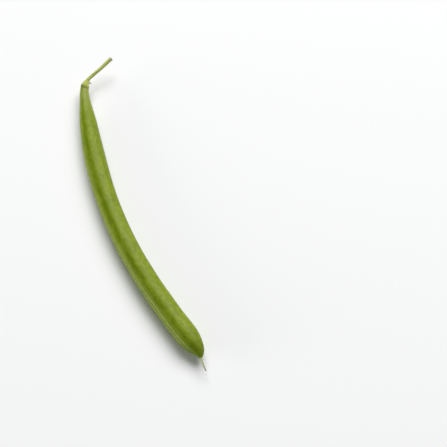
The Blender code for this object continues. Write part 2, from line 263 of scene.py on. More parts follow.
def add_uv_map(data, rows, columns, quads, fans):
    """The map's u is the share round the piece and v the share along it. A face that crosses the join has its
    low u raised by one, so that the map doesn't run back."""
    layer = data.uv_layers.new(name="round_and_along")
    loops = np.concatenate([quads.ravel(), fans.ravel()])
    row, column = np.divmod(np.minimum(loops, rows * columns - 1), columns)
    u, v = column / columns, row / (rows - 1)
    poles = loops >= rows * columns
    v = np.where(poles, loops - rows * columns, v)
    face = np.repeat(np.arange(len(quads) + len(fans)), [4] * len(quads) + [3] * len(fans))
    highest = np.full(len(quads) + len(fans), -1.0)
    np.maximum.at(highest, face[~poles], u[~poles])
    u = np.where(poles, highest[face], u)
    u = np.where(highest[face] - u > 0.5, u + 1, u)
    layer.data.foreach_set("uv", stacked(u, v).astype(np.float32).ravel())


def add_attribute(data, key, values):
    """A float or a vector for each point, with the poles' values at the end."""
    kind, field = ("FLOAT_VECTOR", "vector") if values.ndim == 3 else ("FLOAT", "value")
    flat = values.reshape(-1, *values.shape[2:])
    flat = np.concatenate([flat, values[0].mean(axis=0)[None], values[-1].mean(axis=0)[None]])
    data.attributes.new(key, kind, "POINT").data.foreach_set(field, flat.astype(np.float32).ravel())


def fresh(collection, name, *data):
    """A new datablock of this name, in place of an old one."""
    old = collection.get(name)
    if old is not None:
        collection.remove(old)
    return collection.new(name, *data)


def link_new(name, data):
    """A new object of this name in the scene."""
    made = fresh(bpy.data.objects, name, data)
    bpy.context.scene.collection.objects.link(made)
    return made


def place_piece(name, pod, grid, attributes, look, nodes, start=None, end=None):
    """Makes a piece over its grid, moved to the frame's place, ties it to the frame's body and hides the
    frame's nodes that it stands for.
    """
    shift = frame_shift(pod)
    start, end = (pole if pole is None else pole + shift for pole in (start, end))
    data = grid_mesh(name, grid + shift, start, end, attributes)
    data.materials.append(look)
    piece = link_new(name, data)
    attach(piece, BODY)
    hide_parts(*nodes)


# ---------- the pod's shape


def heading(distance, pod):
    """The pod's direction in the floor's plane, in degrees: an even bend, less a slow wave, a crook in the
    neck and a hook at the tip."""
    share = np.clip(distance / pod.length, 0.0, 1.0)
    wave = BODY_WAVE * np.sin(2 * math.pi * (share - WAVE_START))
    crook = NECK_CROOK * (1 - smoothstep(share / CROOK_END))
    hook = TIP_HOOK * smoothstep((share - HOOK_START) / (1 - HOOK_START))
    return SIDEWAYS_BEND * share - wave - crook - hook


def chord_direction(pod):
    """The direction, in degrees, of the straight line from the rim to the tip."""
    angles = np.radians(heading(np.linspace(0, pod.length, TRACK_STEPS), pod))
    return math.degrees(math.atan2(np.sin(angles).sum(), np.cos(angles).sum()))


def twist(distance, pod):
    """The section's roll in radians, easing from its value at the neck to its value along the body."""
    start, end = SEAM_TWIST
    return np.radians(start + (end - start) * smoothstep(distance / pod.length / TWIST_END))


def resting_height(distance, pod):
    """The height of the axis over the floor: the rolled oval's half height, raised at the neck."""
    roll = twist(distance, pod)
    oval = np.hypot(pod.seam_to_seam / 2 * np.sin(roll), pod.side_to_side / 2 * np.cos(roll))
    rise = NECK_RISE * (1 - smoothstep(distance / pod.length / NECK_RISE_END))
    return oval - UNDERSIDE_FLAT + rise


def beak_radius(distance, pod):
    """The beak's radius: a taper, waisted past its foot, a little knotty, and rounded off at its end."""
    along = np.clip((distance - pod.length) / BEAK_LENGTH, 0, 1)
    knots = 1 + BEAK_KNOTS * np.sin(2 * math.pi * BEAK_KNOT_WAVES * along) * np.minimum(along * 4, 1)
    taper = (BEAK_FOOT + (BEAK_END - BEAK_FOOT) * np.sin(math.pi / 2 * along)) * knots
    to_end = np.clip((pod.length + BEAK_LENGTH - distance) / BEAK_END, 0, 1)
    return taper * np.sqrt(1 - (1 - to_end) ** 2)


def pod_girth(distance, pod):
    """The pod's radius as a share of the full one: seat, neck, body, closing tip and beak."""
    share = distance / pod.length
    along = np.clip(share, 0, 1)
    slow_rise = (1 - NECK_GIRTH - NECK_FLARE) * smoothstep(along / NECK_END)
    neck = NECK_GIRTH + NECK_FLARE * smoothstep(along / FLARE_END) + slow_rise
    swelling = SWELL * along * np.cos(2 * math.pi * SWELL_WAVES * (along - SWELL_PLACE))
    body = 1 - TAPER * along + swelling
    closing = np.clip((share - TIP_START) / (1 - TIP_START), 0, 1)
    tip = (1 - closing**TIP_FULLNESS) ** TIP_BLUNTNESS
    inside = np.clip(-distance / SEAT_DEPTH, 0, 1)
    seat = 1 - (1 - SEAT_GIRTH) * inside**2
    beak = beak_radius(distance, pod) * 2 / pod.side_to_side
    return np.cbrt((neck * body * tip * seat) ** 3 + beak**3)


def pod_stations(pod):
    """Distances along the pod: even over the body, and closer together at the seat, the tip and the beak."""
    tip_start = TIP_START * pod.length
    tip_ease = np.sin(np.linspace(0, math.pi / 2, POD_TIP + 1))
    beak_ease = np.sin(np.linspace(0, math.pi / 2, POD_BEAK + 2))[1:-1]
    seat = np.linspace(-SEAT_DEPTH, 0, POD_SEAT, endpoint=False)
    body = np.linspace(0, tip_start, POD_BODY, endpoint=False)
    tip, beak = tip_start + (pod.length - tip_start) * tip_ease, pod.length + BEAK_LENGTH * beak_ease
    return np.concatenate([seat, body, tip, beak])


def pod_axis(distance, pod):
    """Points on the pod's axis, before it is put in the frame, and the unit vectors along it and towards its
    hollow side: the heading added up step by step, over the resting height. The closing tip leans off this
    line towards the outer seam, and the beak curls up."""
    samples = np.linspace(-SEAT_DEPTH, pod.length + BEAK_LENGTH, TRACK_STEPS)
    angles = np.radians(heading(samples, pod) - chord_direction(pod))
    steps = np.diff(samples)[:, None] * np.stack([np.cos(angles), np.sin(angles)], axis=1)[1:]
    track = np.concatenate([[[0.0, 0.0]], np.cumsum(steps, axis=0)])
    place = (np.interp(distance, samples, track[:, k]) for k in range(2))
    points = stacked(*place, resting_height(distance, pod))
    turn = np.interp(distance, samples, angles)
    along, hollow_side = stacked(np.cos(turn), np.sin(turn), 0.0), stacked(-np.sin(turn), np.cos(turn), 0.0)
    along_beak = np.clip((distance - pod.length) / BEAK_LENGTH, 0, 1)[:, None] ** 2
    points = points + along_beak * BEAK_BEND * (hollow_side + UP)
    lean = np.clip((distance / pod.length - TIP_START) / (1 - TIP_START), 0, 1) ** LEAN_RISE
    return points - TIP_LEAN * lean[:, None] * hollow_side, along, hollow_side


def seam_masks(around, share):
    """Five masks round the section: the outer seam's two ridges, the groove between them, the inner seam's
    one ridge, the pale band round each seam, which is partly painted light, and the darker band along each
    flank, which is partly deep green and partly painted shade. Each ridge is a bell of the angle from its
    middle. The darker band nears its seam from the neck to the body."""
    from_outer = np.degrees(np.abs(np.arctan2(np.sin(around), np.cos(around))))
    from_inner = 180 - from_outer
    ridges = bell(from_outer - SEAM_SPREAD, SEAM_WIDTH)
    groove = bell(from_outer, SEAM_GROOVE)
    # Partly painted light: the pale band round each seam.
    band = 1 - smoothstep((np.minimum(from_outer, from_inner + SEAM_BAND / 2) - SEAM_BAND) / BAND_EDGE)
    settled = smoothstep(share / TWIST_END)
    place = DEEP_PLACE[0] + (DEEP_PLACE[1] - DEEP_PLACE[0]) * settled
    strength = DEEP_NECK + (1 - DEEP_NECK) * np.minimum(settled * 3, 1)
    # Partly painted shade: the darker band along each flank, and a fainter one beside the inner seam.
    deep = strength * bell(from_outer - place, DEEP_WIDTH)
    deep = deep + DEEP_INNER * settled * bell(from_inner - place, DEEP_WIDTH)
    return ridges, groove, bell(from_inner, INNER_SEAM_WIDTH), band, deep


def seed_places(rng):
    """The seeds' shares along the pod and their sizes: evenly spaced, each a little out of place."""
    spacing = (SEED_LAST - SEED_FIRST) / (SEED_COUNT - 1)
    shifts = rng.uniform(-SEED_SHIFT, SEED_SHIFT, SEED_COUNT) * spacing
    return np.linspace(SEED_FIRST, SEED_LAST, SEED_COUNT) + shifts, rng.uniform(*SEED_SIZES, SEED_COUNT)


def pod_relief(distance, around, girth, pod):
    """How far the skin stands off the plain oval, in metres.

    It adds the seams' ridges, less a groove between them and a faint hollow along each flank of a seam; a
    low swelling over each seed, strongest on the two sides; a slow unevenness; ribs that fade out from the
    neck; fine lines along the pod; and the dry beak's winding folds.
    """
    rng = np.random.default_rng(SEED)
    share = distance / pod.length
    ridges, groove, inner = seam_masks(around, share)[:3]
    seams = pod.seam_ridge * (ridges + INNER_HEIGHT * inner) - pod.seam_groove * groove
    from_seam = np.degrees(np.arcsin(np.abs(np.sin(around))))
    flanks = -FLANK_HOLLOW * bell(from_seam - FLANK_PLACE, FLANK_WIDTH)
    places, sizes = seed_places(rng)
    seeds = (bell(distance[:, :, None] - places * pod.length, SEED_LENGTH) * sizes).sum(axis=2)
    sides = np.abs(np.sin(around)) ** 1.5
    seeds = pod.seed_swell * (seeds - 0.5) * sides * smoothstep(share / 0.15)
    uneven = WANDER_HEIGHT * wander(share, around, 3, rng, WANDER_TERMS)
    ribs = NECK_RIB_HEIGHT * np.cos(NECK_RIBS * around) * np.exp(-np.maximum(distance, 0) / NECK_RIB_REACH)
    lines = sum(np.sin(count * around + rng.uniform(0, 6.28) + 9 * np.sin(3 * share)) for count in CORD_LINES)
    body = np.clip(girth, 0, 1) * (1 - smoothstep((share - 0.985) / 0.015))
    along_beak = (distance - pod.length) / BEAK_LENGTH
    shrivelled = BEAK_RIB_HEIGHT * np.cos(BEAK_RIBS * around + 5 * along_beak) * smoothstep(along_beak * 5)
    shrivelled = shrivelled * (1 - smoothstep((along_beak - 0.85) / 0.1))
    ribs = ribs * (distance > -SEAT_DEPTH / 2) + shrivelled
    return (seams + flanks + seeds + uneven + CORD_HEIGHT * lines) * body + ribs


def pod_surface(pod):
    """The pod's grid of points and its attributes.

    A point is the axis, plus the oval's two half widths times the cosine and sine of the angle round it, plus
    the relief along the oval's outward direction. Nothing goes below the floor, so the underside is pressed
    flat. The angles crowd towards the seams.
    """
    distance = pod_stations(pod)
    points, _, hollow_side = pod_axis(distance, pod)
    girth, roll = pod_girth(distance, pod)[:, None], twist(distance, pod)[:, None]
    even = np.linspace(0, 2 * math.pi, POD_AROUND, endpoint=False)
    around = (even - SEAM_CROWDING * np.sin(2 * even))[None, :]
    relief = pod_relief(distance[:, None], around, girth, pod)
    half_seam, half_side = pod.seam_to_seam / 2, pod.side_to_side / 2
    outward = unit(np.stack([np.cos(around) / half_seam, np.sin(around) / half_side], axis=-1))
    to_seam = half_seam * girth * np.cos(around) + relief * outward[..., 0]
    to_side = half_side * girth * np.sin(around) + relief * outward[..., 1]
    seam_way = -hollow_side * np.cos(roll) + UP * np.sin(roll)
    side_way = hollow_side * np.sin(roll) + UP * np.cos(roll)
    grid = points[:, None] + offset(to_seam, seam_way) + offset(to_side, side_way)
    grid[:, :, 2] = np.maximum(grid[:, :, 2], 0.0)
    end = pod_axis(np.array([pod.length + BEAK_LENGTH]), pod)[0][0]
    ridges, groove, inner, band, deep = seam_masks(around, distance[:, None] / pod.length)
    attributes = {
        "straight": stacked(distance[:, None], to_seam, to_side),
        "seam_ridge": ridges + INNER_PALENESS * inner,
        "seam_groove": groove,
        # Partly painted light: the pale band round each seam.
        "seam_band_and_light": band,
        # Partly painted shade: the darker band along each flank.
        "deep_and_shade_band": deep,
    }
    return grid, points[0], end, attributes


def frame_shift(pod):
    """The move that puts these shapes where the frame's pod is: between the middles of the two boxes in the
    floor's plane."""
    grid = pod_surface(pod)[0]
    low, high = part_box("pod")
    middle = (grid.min(axis=(0, 1)) + grid.max(axis=(0, 1))) / 2
    return np.array([(low.x + high.x) / 2 - middle[0], (low.y + high.y) / 2 - middle[1], 0.0])


# ---------- the calyx's, stalk's and bracteoles' shapes


def calyx_axis(share, pod, calyx):
    """Points and directions of the calyx's axis, from the rim (0) to the foot (1). It starts in the pod's
    line and bends towards the stalk with a power of the share. Past the foot it runs straight on."""
    samples = np.linspace(0, 1, TRACK_STEPS)
    start, along, hollow_side = (value[0] for value in pod_axis(np.zeros(1), pod))
    angles = np.radians(CALYX_BEND) * samples**BEND_RISE
    climb = np.radians(STALK_RISE) * samples**BEND_RISE
    sideways = np.cos(angles)[:, None] * -along + np.sin(angles)[:, None] * hollow_side
    ways = np.cos(climb)[:, None] * sideways + np.sin(climb)[:, None] * UP
    steps = ways[1:] * calyx.length / (TRACK_STEPS - 1)
    track = np.concatenate([[start], start + np.cumsum(steps, axis=0)])
    points, directions = (
        stacked(*(np.interp(share, samples, values[:, k]) for k in range(3))) for values in (track, ways)
    )
    directions = unit(directions)
    past = np.maximum(share - 1, 0)[:, None] * calyx.length
    return points + past * directions, directions


def calyx_inside(share, pod, calyx):
    """The cup's inner radius: it is pressed on the pod's neck and stands off the pod's seat. Shares below 0
    are over the pod."""
    off = -RIM_PRESS + (GAP + RIM_PRESS) * smoothstep(share / REACH_END)
    return pod_girth(-share * calyx.length, pod) * pod.seam_to_seam / 2 + off


def calyx_outside(share, pod, calyx):
    """The cup's outer radius: a funnel that widens from its foot to its rim with a power of the share."""
    rim_radius = calyx_inside(np.minimum(share, 0), pod, calyx) + calyx.wall
    flare = np.clip(1 - share, 0, 1) ** CALYX_FLARE
    collar = np.maximum(share - 1, 0) / COLLAR_SINK * 0.25
    return (CALYX_FOOT + (rim_radius - CALYX_FOOT) * flare) * (1 - collar)


def calyx_teeth(around, calyx, rng):
    """How far the rim reaches over the pod at each angle: the lip, a power of a raised cosine, plus a pointed
    tooth for each of the lobes, of its own length, with a slight raggedness."""
    lip = RIM_REACH + LIP * ((1 + np.cos(around - math.radians(LIP_WAY))) / 2) ** LIP_SHARPNESS
    lobe = (around * CALYX_TEETH / (2 * math.pi)) % 1.0
    number = np.floor(around * CALYX_TEETH / (2 * math.pi)).astype(int) % CALYX_TEETH
    lengths = calyx.tooth * rng.uniform(*TOOTH_LENGTHS, CALYX_TEETH)
    pointed = (1 - np.abs(2 * lobe - 1)) ** TOOTH_POWER
    ragged = 0.06 * np.sin(17 * around + 1.0) + 0.04 * np.sin(29 * around + 2.4)
    return lip - calyx.tooth / 2 + lengths[number] * (pointed + ragged * pointed)


def calyx_surface(pod, calyx):
    """The cup's grid: rows run up its outside, over its rounded rim and down its inside to its floor.

    A point is the bent axis, plus the radius times the cosine and sine of the angle round it, less the
    teeth's reach along the axis. The reach fades out towards the foot, and over the pod it follows the pod's
    bent axis. Towards the rim the section takes on the pod's oval, the wall thins and the teeth curl off the
    pod. Low ribs run from the foot to the middle of each tooth and of each notch.
    """
    rng = np.random.default_rng(SEED + 1)
    around = circle(CALYX_AROUND)
    floor_share = (SEAT_DEPTH + GAP) / calyx.length
    outer = np.linspace(1 + COLLAR_SINK, 0, CALYX_OUTER)
    inner = np.linspace(0, floor_share, CALYX_INNER)
    edge = np.linspace(0, math.pi, CALYX_EDGE + 2)[1:-1]
    turned = (1 - np.cos(edge)) / 2
    rows = (outer, 0 * edge, inner), (0 * outer, turned, inner**0), (0 * outer, np.sin(edge), 0 * inner)
    share, across, over_edge = (np.concatenate(row)[:, None] for row in rows)
    fade = np.clip(1 - share / REACH_END, 0, 1)
    teeth = calyx_teeth(around, calyx, rng)
    reach = teeth * fade
    carried = share - reach / calyx.length
    inside = calyx_inside(carried, pod, calyx)
    outside = calyx_outside(carried, pod, calyx)
    ribs, ribbed = np.cos(CALYX_RIBS * around), (1 - across) * bell(share - 0.55, 0.45)
    wall = (outside - inside) * (1 - RIM_THINNING * fade**2)
    curl = calyx.curl * np.maximum(reach - calyx.tooth / 2, 0) / calyx.tooth * fade**3
    radius = inside + wall * (1 - across) + CALYX_RIB_HEIGHT * ribs * ribbed + curl
    reach = reach + over_edge * calyx.wall / 3
    oval = 1 - (1 - pod.side_to_side / pod.seam_to_seam) * smoothstep(fade * 2)
    over_pod = np.maximum(reach - share * calyx.length, 0)
    rim_points = pod_axis(over_pod.ravel(), pod)[0]
    start, start_way, _ = pod_axis(np.zeros(1), pod)
    bend = rim_points.reshape(*over_pod.shape, 3) - start - over_pod[:, :, None] * start_way
    points, ways = calyx_axis(share[:, 0], pod, calyx)
    side = unit(np.cross(ways, UP))
    top = np.cross(side, ways)
    to_side, to_top = radius * np.cos(around), radius * np.sin(around)
    grid = points[:, None] + offset(to_side, side) + offset(to_top * oval, top) - offset(reach, ways) + bend
    from_rim = share * calyx.length + teeth * (1 - fade)
    attributes = {
        "straight": stacked(share * calyx.length - reach, to_side, to_top),
        "margin": fade**3 * (0.4 + 0.6 * over_edge) * (1 - 0.4 * across),
        "rib": (0.5 + 0.5 * ribs) * ribbed,
        # Painted shade along one side of the rim's edge, fading out over SHADE_DEPTH from it.
        "shade": bell(np.degrees(around) - SHADE_WAY, SHADE_WIDTH) * smoothstep(1.5 - from_rim / SHADE_DEPTH),
    }
    return grid, attributes


def stalk_route(pod, calyx, stalk):
    """Points and directions along the stalk's axis: out of the calyx's foot, turning within its first quarter
    to its final way, then on with a slight sag and sway. It starts a little inside the calyx."""
    foot, foot_way = (value[0] for value in calyx_axis(np.ones(1), pod, calyx))
    _, along, hollow_side = (value[0] for value in pod_axis(np.zeros(1), pod))
    turn, rise = math.radians(STALK_TURN), math.radians(STALK_RISE)
    level = -along * math.cos(turn) + hollow_side * math.sin(turn)
    final_way = level * math.cos(rise) + UP * math.sin(rise)
    share = np.linspace(0, 1, STALK_ALONG)[:, None]
    blend = smoothstep(share / STALK_BEND_END)
    sway = STALK_SWAY * np.sin(2 * math.pi * share) * unit(np.cross(final_way, UP))
    ways = unit(foot_way * (1 - blend) + final_way * blend + sway)
    steps = ways[1:] * stalk.length / (STALK_ALONG - 1)
    points = foot + foot_way * GAP + np.concatenate([np.zeros((1, 3)), np.cumsum(steps, axis=0)])
    inside = (1 - share) ** 40
    return share, points - foot_way * STALK_OVERLAP * inside, ways


def stalk_surface(pod, calyx, stalk):
    """The stalk's grid: a tube whose radius follows STALK_RADII, with low ridges that wind a part of a turn,
    and swellings at both ends. The torn end's rows run in to its middle, sunk and ragged."""
    rng = np.random.default_rng(SEED + 2)
    share, points, ways = stalk_route(pod, calyx, stalk)
    around = circle(STALK_AROUND)
    across = unit(np.cross(ways, UP))
    top = np.cross(across, ways)
    stops = np.linspace(0, 1, len(STALK_RADII))
    radius = np.interp(share[:, 0], stops, STALK_RADII)[:, None]
    wind = around + 2 * math.pi * STALK_TURNS * share
    ridges = stalk.ridge * (np.cos(STALK_RIDGES * wind) + 0.4 * np.cos(2 * STALK_RIDGES * wind + 1.1))
    uneven = STALK_UNEVEN * wander(share, around, 2, rng, 10)
    swellings = END_SWELLING * bell(share - 0.97, 0.05) + FOOT_SWELLING * bell(share - 0.03, 0.05)
    radius = radius + (ridges + uneven) * smoothstep(share / 0.1) + swellings
    torn = rng.uniform(-0.5, 1.0, STALK_AROUND)
    torn = TEAR_HEIGHT * (torn + np.roll(torn, 1) + np.roll(torn, 2)) / 3
    inward = np.linspace(1, 0, STALK_END + 1)[1:-1, None]
    rough = TEAR_GRAIN * rng.uniform(-1, 1, (STALK_END - 1, STALK_AROUND))
    end_rows = rough + torn * inward**2 - TEAR_DEPTH * (1 - inward**2)

    def run_on(values):
        """The end's rows repeat the last row."""
        return np.concatenate([values, np.repeat(values[-1:], STALK_END - 1, axis=0)])

    radii = np.concatenate([radius, radius[-1] * inward])
    to_side, to_top = radii * np.cos(around), radii * np.sin(around)
    off_end = np.concatenate([np.zeros((STALK_ALONG - 1, STALK_AROUND)), torn[None, :], end_rows])
    points, across, top, ways = (run_on(values) for values in (points, across, top, ways))
    grid = points[:, None] + offset(to_side, across) + offset(to_top, top) + offset(off_end, ways)
    attributes = {
        "straight": stacked(run_on(share) * stalk.length, to_side, to_top),
        "dry": smoothstep((run_on(share) - 0.86) / 0.14),
        "rib": 0.5 + 0.5 * np.concatenate([ridges / (1.4 * stalk.ridge), 0 * end_rows]),
    }
    return grid, points[-1] - TEAR_DEPTH * ways[-1], attributes


def leaf_surface(roll, turn, pod, calyx, leaf, rng):
    """A bracteole's grid: a flat tube from its root to its point.

    Its half width is a stretch of a sine arch with a ragged edge, its thickness an ellipse with a raised
    vein. It spreads off the calyx on its way towards the pod, cups with the square of the place across and
    curls back with the square of the place along.
    """
    points, ways = calyx_axis(np.array([BRACTEOLE_PLACE]), pod, calyx)
    side = unit(np.cross(ways[0], UP))
    top = np.cross(side, ways[0])
    off_axis = side * math.cos(math.radians(roll)) + top * math.sin(math.radians(roll))
    spread = math.radians(BRACTEOLE_SPREAD)
    out = off_axis * math.sin(spread) - ways[0] * math.cos(spread)
    back = off_axis * math.cos(spread) + ways[0] * math.sin(spread)
    unturned, turned = np.cross(out, back), math.radians(turn)
    across_way = unturned * math.cos(turned) + back * math.sin(turned)
    back = np.cross(across_way, out)
    root = points[0] + off_axis * (calyx_outside(np.array([BRACTEOLE_PLACE]), pod, calyx)[0] - GAP)
    along = np.linspace(0, 1, LEAF_ALONG)[:, None]
    around = circle(LEAF_AROUND)
    arch = np.sin(math.pi * (OVAL_START + (OVAL_END - OVAL_START) * along)) ** OVAL_BLUNTNESS
    closing = np.sqrt(np.clip(1 - ((along - 0.5) * 2) ** 16, 0, 1))
    ragged = 1 + LEAF_RAGGEDNESS * wander(along, np.sign(np.cos(around)), 1, rng, 8)
    half_width = leaf.width / 2 * arch * closing * ragged
    thickness = leaf.thickness / 2 * (0.35 + 0.65 * arch) * closing
    place_across = np.cos(around)
    vein = bell(place_across, VEIN_WIDTH) * (1 - along)
    cup = leaf.cup * (0.5 - place_across**2) * arch
    curl = BRACTEOLE_CURL * leaf.length * along**2
    wrinkle = WRINKLE_HEIGHT * wander(along, place_across * 2, 2, rng, 6)
    raised = VEIN_HEIGHT * vein * np.abs(np.sin(around))
    off = cup + curl + wrinkle * closing + (thickness + raised) * np.sin(around)
    distance, to_edge = along * (leaf.length + GAP), half_width * place_across
    attributes = {
        "straight": stacked(distance, to_edge, off),
        "margin": np.maximum(np.abs(place_across) ** 3, smoothstep((along - 0.6) / 0.4)),
        "rib": vein,
    }
    return root + offset(distance, out) + offset(to_edge, across_way) + offset(off, back), attributes


# ---------- shader groups


def feed(tree, node, values):
    """Fills a node's sockets, by name or number: another node's socket is linked in, and a value is set."""
    for key, value in values.items():
        if isinstance(value, bpy.types.NodeSocket):
            tree.links.new(value, node.inputs[key])
        else:
            node.inputs[key].default_value = value
    return node


def add_node(tree, kind, values=(), **settings):
    """A node with its settings, and its sockets filled."""
    node = tree.nodes.new("ShaderNode" + kind)
    for key, value in settings.items():
        setattr(node, key, value)
    return feed(tree, node, dict(values))


def maths(tree, operation, *values, clamp=False):
    """The result of one Math node."""
    return add_node(tree, "Math", enumerate(values), operation=operation, use_clamp=clamp).outputs[0]


def times(tree, first, second):
    """The product of two values."""
    return maths(tree, "MULTIPLY", first, second)


def mix(tree, factor, first, second):
    """The colour of one Mix node, which takes its two colours at 6 and 7 and gives its colour at 2."""
    values = {0: factor, 6: first, 7: second}
    return add_node(tree, "Mix", values, data_type="RGBA", clamp_factor=True).outputs[2]


def ramp(tree, value, low, high, to_low=0.0, to_high=1.0):
    """A value carried smoothly from one range to another."""
    values = {"Value": value, "From Min": low, "From Max": high, "To Min": to_low, "To Max": to_high}
    return add_node(tree, "MapRange", values, interpolation_type="SMOOTHSTEP").outputs["Result"]


def noise(tree, vector, scale, detail=3.0, rough=0.6):
    """One noise texture's value."""
    values = {"Vector": vector, "Scale": scale, "Detail": detail, "Roughness": rough}
    return add_node(tree, "TexNoise", values).outputs["Fac"]


def stretched(tree, vector, amount):
    """The vector with its first part, the distance along the piece, divided by the amount."""
    parts = add_node(tree, "SeparateXYZ", {0: vector}).outputs
    shorter = maths(tree, "DIVIDE", parts[0], amount)
    return add_node(tree, "CombineXYZ", {0: shorter, 1: parts[1], 2: parts[2]}).outputs[0]


def new_group(name, inputs, outputs):
    """A new shader group: its tree, the sockets that it is given, and its last node. An input is described by
    its kind, or by the number that it is at first."""
    tree = bpy.data.node_groups.new(name, "ShaderNodeTree")
    for label, value in inputs.items():
        kind = value if isinstance(value, str) else "Float"
        socket = tree.interface.new_socket(name=label, in_out="INPUT", socket_type="NodeSocket" + kind)
        if kind == "Float":
            socket.default_value = value
    for label, kind in outputs.items():
        tree.interface.new_socket(name=label, in_out="OUTPUT", socket_type="NodeSocket" + kind)
    return tree, tree.nodes.new("NodeGroupInput").outputs, tree.nodes.new("NodeGroupOutput")


def cloudy_patches():
    """Cloudy patches of two colours, longer along the piece than across it, and their mask."""
    inputs = {"Vector": "Vector", "Scale": 260.0, "Stretch": 3.0}
    inputs |= {"Dark": "Color", "Light": "Color", "Softness": 0.2}
    tree, given, made = new_group("cloudy_patches", inputs, {"Color": "Color", "Mask": "Float"})
    pattern = stretched(tree, given["Vector"], given["Stretch"])
    broad = noise(tree, pattern, given["Scale"], 2.0, 0.5)
    fine = noise(tree, pattern, times(tree, given["Scale"], 4.3))
    both = maths(tree, "MULTIPLY_ADD", fine, 0.35, times(tree, broad, 0.65))
    low, high = (maths(tree, operation, 0.5, given["Softness"]) for operation in ("SUBTRACT", "ADD"))
    mask = ramp(tree, both, low, high)
    feed(tree, made, {"Mask": mask, "Color": mix(tree, mask, given["Dark"], given["Light"])})
    return tree


def long_streaks():
    """Thin lines that run along the piece: noise squeezed across it and drawn out along it."""
    inputs = {"Vector": "Vector", "Scale": 1400.0, "Stretch": 26.0}
    tree, given, made = new_group("long_streaks", inputs, {"Mask": "Float"})
    lines = noise(tree, stretched(tree, given["Vector"], given["Stretch"]), given["Scale"])
    feed(tree, made, {"Mask": ramp(tree, lines, 0.36, 0.64)})
    return tree


def pores_and_specks():
    """Tiny pits and grains: the height is a cell pattern's distance roughened by noise, and the specks are
    the few cells whose own number is low."""
    inputs = {"Vector": "Vector", "Scale": 3200.0, "Speck Share": 0.12}
    tree, given, made = new_group("pores_and_specks", inputs, {"Height": "Float", "Specks": "Float"})
    pattern = stretched(tree, given["Vector"], 1.8)
    cells = add_node(tree, "TexVoronoi", {"Vector": pattern, "Scale": given["Scale"]}).outputs
    grain = noise(tree, pattern, times(tree, given["Scale"], 0.5), 2.0)
    number = add_node(tree, "SeparateColor", {0: cells["Color"]}).outputs[0]
    chosen = maths(tree, "LESS_THAN", number, given["Speck Share"])
    specks = times(tree, chosen, ramp(tree, cells["Distance"], 0.38, 0.12))
    feed(tree, made, {"Height": maths(tree, "MULTIPLY_ADD", cells["Distance"], 0.6, grain), "Specks": specks})
    return tree


def dried_patches():
    """A dried look on a mask: noise breaks up its edge, and the skin turns to the dried colour inside it."""
    inputs = {"Color": "Color", "Mask": 0.0, "Dried": "Color", "Vector": "Vector"}
    inputs |= {"Scale": 1500.0, "Raggedness": 0.5}
    tree, given, made = new_group("dried_patches", inputs, {"Color": "Color", "Mask": "Float"})
    centred = maths(tree, "SUBTRACT", noise(tree, given["Vector"], given["Scale"]), 0.5)
    pushed = maths(tree, "MULTIPLY_ADD", centred, given["Raggedness"], given["Mask"])
    mask = ramp(tree, pushed, 0.35, 0.75)
    feed(tree, made, {"Mask": mask, "Color": mix(tree, mask, given["Color"], given["Dried"])})
    return tree


def use_group(tree, maker, *values):
    """One use of a shared group, which its maker makes the first time, with its inputs in order."""
    node = tree.nodes.new("ShaderNodeGroup")
    node.node_tree = bpy.data.node_groups.get(maker.__name__) or maker()
    return feed(tree, node, dict(enumerate(values))).outputs


def attribute(tree, key, field="Fac"):
    """One of the piece's own attributes."""
    return add_node(tree, "Attribute", attribute_name=key).outputs[field]


# ---------- materials


def new_material(name, roughness, subsurface=0.0, sheen=0.0, specular=0.3):
    """A Principled material with the values that are the same all over it."""
    look = fresh(bpy.data.materials, name)
    look.use_nodes = True
    shader = look.node_tree.nodes["Principled BSDF"]
    values = {"Roughness": roughness, "IOR": IOR, "Specular IOR Level": specular}
    values |= {"Coat IOR": IOR, "Coat Roughness": COAT_ROUGHNESS}
    values |= {"Sheen Weight": sheen, "Sheen Roughness": SHEEN_ROUGHNESS, "Subsurface Weight": subsurface}
    values |= {"Subsurface Radius": SUBSURFACE_RADIUS, "Subsurface Scale": SUBSURFACE_SCALE}
    feed(look.node_tree, shader, values)
    return look, look.node_tree, shader


def bump(tree, shader, *layers):
    """Feeds one or more heights into the shader's normal. Each is a height, a strength and a distance."""
    values = {}
    for height, strength, distance in layers:
        values |= {"Height": height, "Strength": strength, "Distance": distance}
        values["Normal"] = add_node(tree, "Bump", values).outputs[0]
    feed(tree, shader, {"Normal": values["Normal"]})


